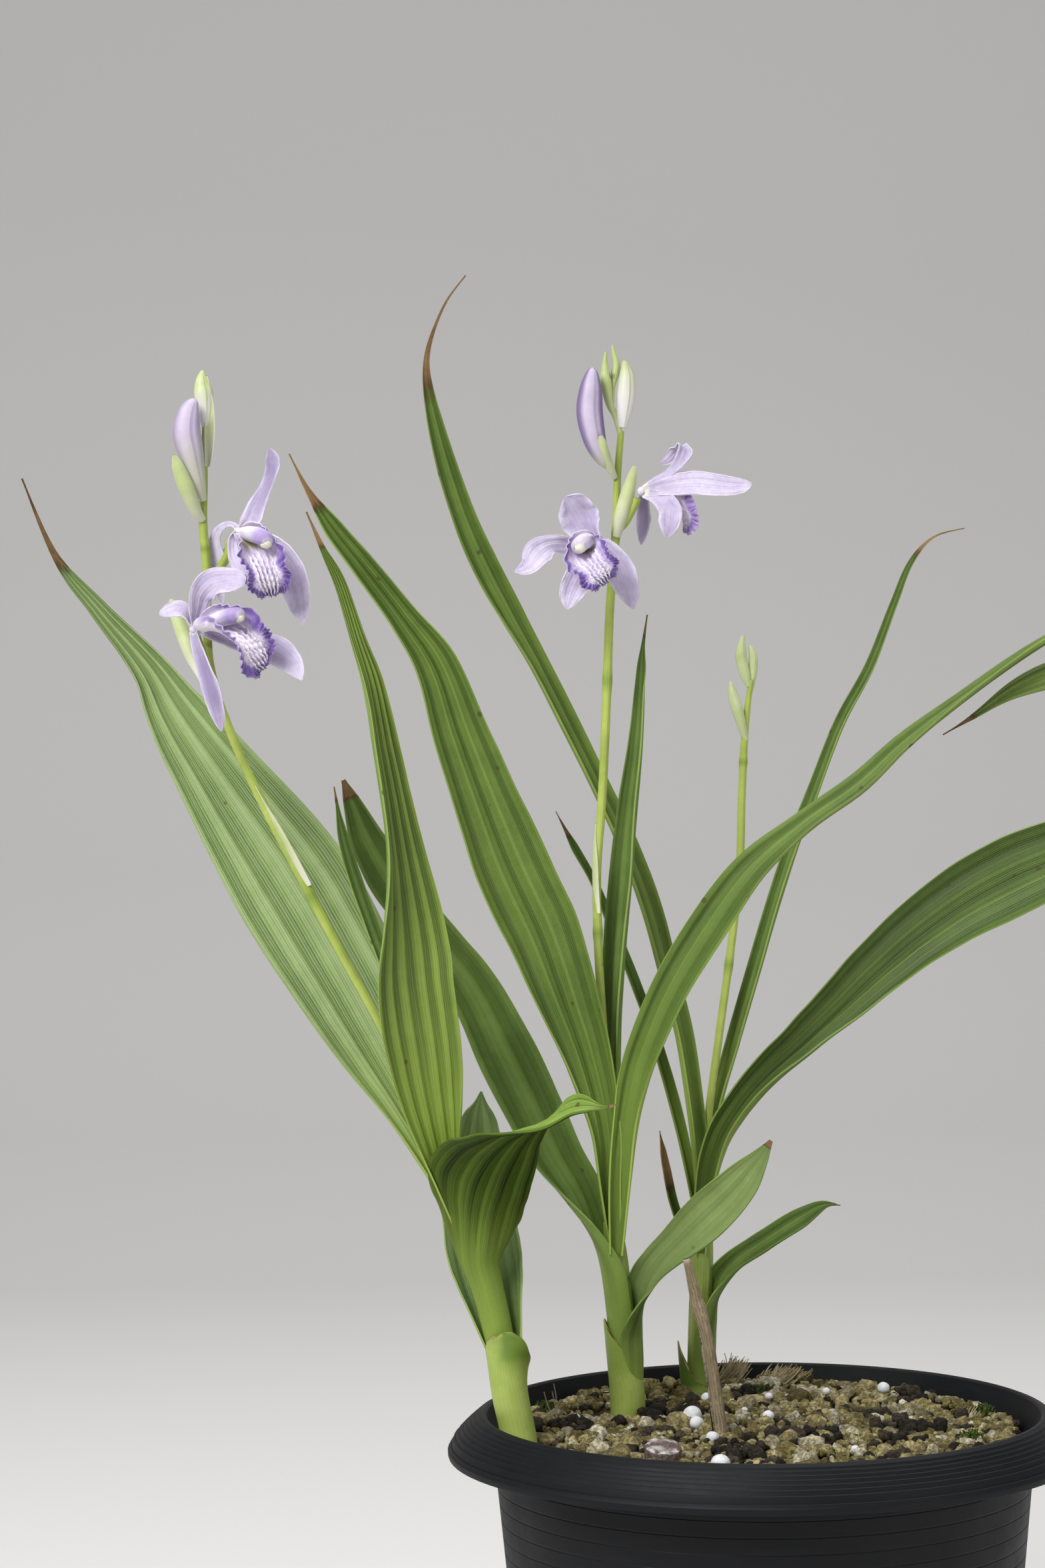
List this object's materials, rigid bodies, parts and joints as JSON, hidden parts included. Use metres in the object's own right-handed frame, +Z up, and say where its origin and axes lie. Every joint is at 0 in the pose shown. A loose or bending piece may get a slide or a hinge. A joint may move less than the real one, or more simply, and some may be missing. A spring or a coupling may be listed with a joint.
{
  "type": "potted orchid",
  "caption": "Potted ground orchid with long pleated arching leaves, thin flower stalks with lilac blooms, frilled violet lips and buds, in a dark flared plastic pot of gravel.",
  "frame": {"origin": "middle of the pot's flat underside", "axes": "+Z up out of the pot, -Y towards the front that the blooms face, +X towards the side that the arching leaves reach to"},
  "size_m": [0.344, 0.1798, 0.4791],
  "materials": {
    "pot": "satin",
    "gravel": "matte",
    "stalk_old": "matte",
    "stem": "satin",
    "scape": "satin",
    "leaf": "satin",
    "tepal": "matte",
    "lip": "matte",
    "column": "satin"
  },
  "bodies": {
    "root": {"pot": "pot", "gravel": "gravel", "oldStalk": "stalk_old", "pseudostemLeft": "stem", "pseudostemCentre": "stem", "pseudostemRight": "stem", "sheathLeft": "stem", "sheathCentre": "stem", "sheathRight": "stem", "scapeLeft": "scape", "scapeCentre": "scape", "scapeRight": "scape", "leafLeftArched": "leaf", "leafLeftFront": "leaf", "leafLeftBroad": "leaf", "leafLeftBack": "leaf", "leafLeftThin": "leaf", "leafCentreBroad": "leaf", "leafCentreLow": "leaf", "leafCentreShort": "leaf", "leafCentreArched": "leaf", "leafCentreUpright": "leaf", "leafRightTall": "leaf", "leafRightArched": "leaf", "leafRightThin": "leaf", "leafRightLow": "leaf", "leafRightOld": "leaf", "leafRightNarrow": "leaf", "budLeft": "tepal", "budTopLeft": "tepal", "budCentreLarge": "tepal", "budCentreGreen": "tepal", "tepalsLeftUpper": "tepal", "tepalsLeftLower": "tepal", "tepalsCentreLeft": "tepal", "tepalsCentreRight": "tepal", "columnLeftUpper": "column", "columnLeftLower": "column", "columnCentreLeft": "column", "columnCentreRight": "column", "lipLeftUpper": "lip", "lipLeftLower": "lip", "lipCentreLeft": "lip", "lipCentreRight": "lip"}
  },
  "joints": []
}
